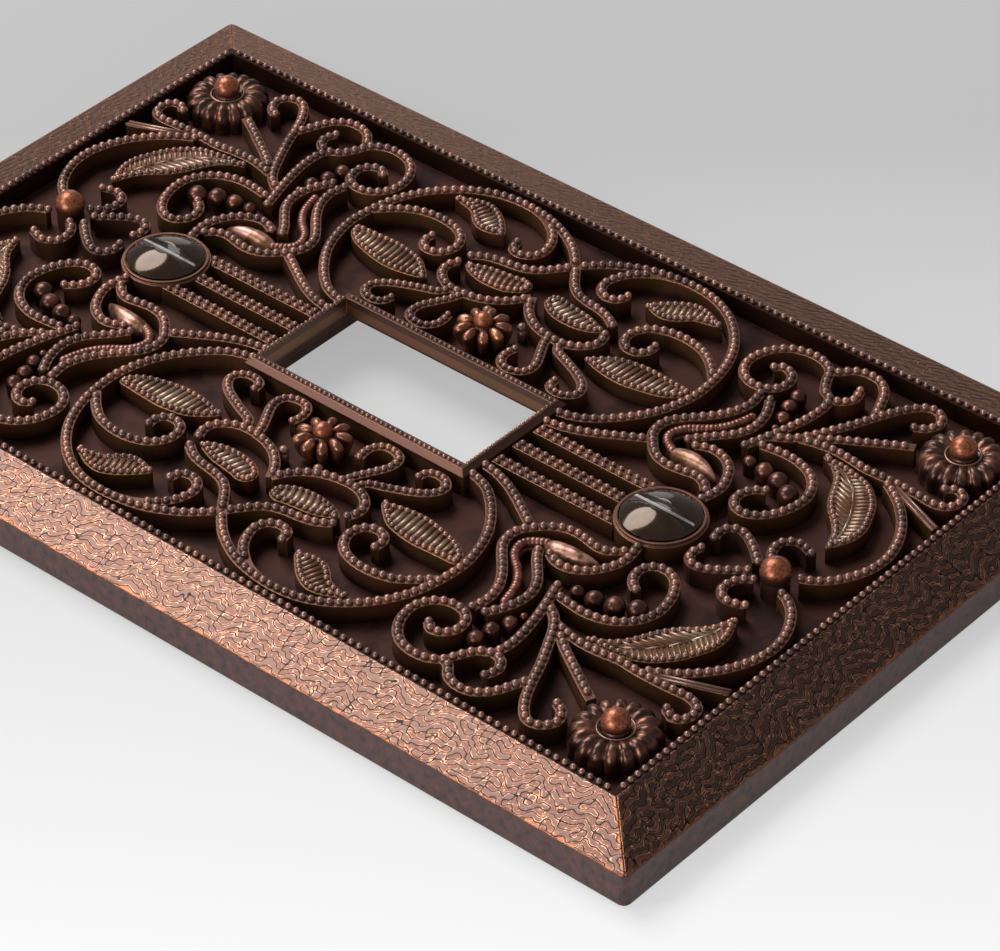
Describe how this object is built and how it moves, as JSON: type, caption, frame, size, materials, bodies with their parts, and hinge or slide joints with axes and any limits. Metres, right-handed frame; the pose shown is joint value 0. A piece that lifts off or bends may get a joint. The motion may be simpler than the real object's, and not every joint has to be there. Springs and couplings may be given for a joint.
{
  "type": "wall plate cover",
  "caption": "Rectangular cast wall plate for a toggle switch: bevelled textured frame around sunk beaded filigree, a raised bezel at the opening, and oval-head slotted screws in collars.",
  "frame": {"origin": "middle of the plate on the wall face, halfway between the two screws", "axes": "+Z out of the plate's face, +Y up on the wall along the plate's length, +X to the right seen from the front"},
  "size_m": [0.072, 0.112, 0.0147],
  "materials": {
    "antique_copper_casting": "zinc casting, copper plated, darkened and relieved, satin",
    "rubbed_copper": "the same plating, rubbed back to bright copper on the high places",
    "blackened_steel": "steel screw, polished and chemically darkened, glossy"
  },
  "bodies": {
    "plate": {"frame": "antique_copper_casting", "back_panel": "antique_copper_casting", "toggle_bezel": "antique_copper_casting", "upper_collar": "antique_copper_casting", "lower_collar": "antique_copper_casting", "upper_ribs": "antique_copper_casting", "lower_ribs": "antique_copper_casting", "upper_finial": "antique_copper_casting", "lower_finial": "antique_copper_casting", "left_flower": "rubbed_copper", "right_flower": "rubbed_copper", "upper_left_ring_scroll": "antique_copper_casting", "upper_right_ring_scroll": "antique_copper_casting", "lower_left_ring_scroll": "antique_copper_casting", "lower_right_ring_scroll": "antique_copper_casting", "upper_left_ring_leaves": "antique_copper_casting", "upper_right_ring_leaves": "antique_copper_casting", "lower_left_ring_leaves": "antique_copper_casting", "lower_right_ring_leaves": "antique_copper_casting", "upper_left_corner_spray": "antique_copper_casting", "upper_right_corner_spray": "antique_copper_casting", "lower_left_corner_spray": "antique_copper_casting", "lower_right_corner_spray": "antique_copper_casting", "upper_left_acanthus": "antique_copper_casting", "upper_right_acanthus": "antique_copper_casting", "lower_left_acanthus": "antique_copper_casting", "lower_right_acanthus": "antique_copper_casting", "upper_left_rosette": "antique_copper_casting", "upper_right_rosette": "antique_copper_casting", "lower_left_rosette": "antique_copper_casting", "lower_right_rosette": "antique_copper_casting", "upper_left_ribbon": "antique_copper_casting", "upper_right_ribbon": "antique_copper_casting", "lower_left_ribbon": "antique_copper_casting", "lower_right_ribbon": "antique_copper_casting", "upper_left_ribbon_drop": "rubbed_copper", "upper_right_ribbon_drop": "rubbed_copper", "lower_left_ribbon_drop": "rubbed_copper", "lower_right_ribbon_drop": "rubbed_copper", "upper_left_grape_scroll": "antique_copper_casting", "upper_right_grape_scroll": "antique_copper_casting", "lower_left_grape_scroll": "antique_copper_casting", "lower_right_grape_scroll": "antique_copper_casting", "upper_left_grapes": "rubbed_copper", "upper_right_grapes": "rubbed_copper", "lower_left_grapes": "rubbed_copper", "lower_right_grapes": "rubbed_copper"},
    "upper_screw": {"upper_screw": "blackened_steel"},
    "lower_screw": {"lower_screw": "blackened_steel"}
  },
  "joints": [
    {"name": "upper_screw_turn", "type": "hinge", "parent": "plate", "child": "upper_screw", "pos_m": [0, 0.03015, 0.0055], "axis": [0, 0, 1], "continuous": true},
    {"name": "lower_screw_turn", "type": "hinge", "parent": "plate", "child": "lower_screw", "pos_m": [0, -0.03015, 0.0055], "axis": [0, 0, 1], "continuous": true}
  ]
}
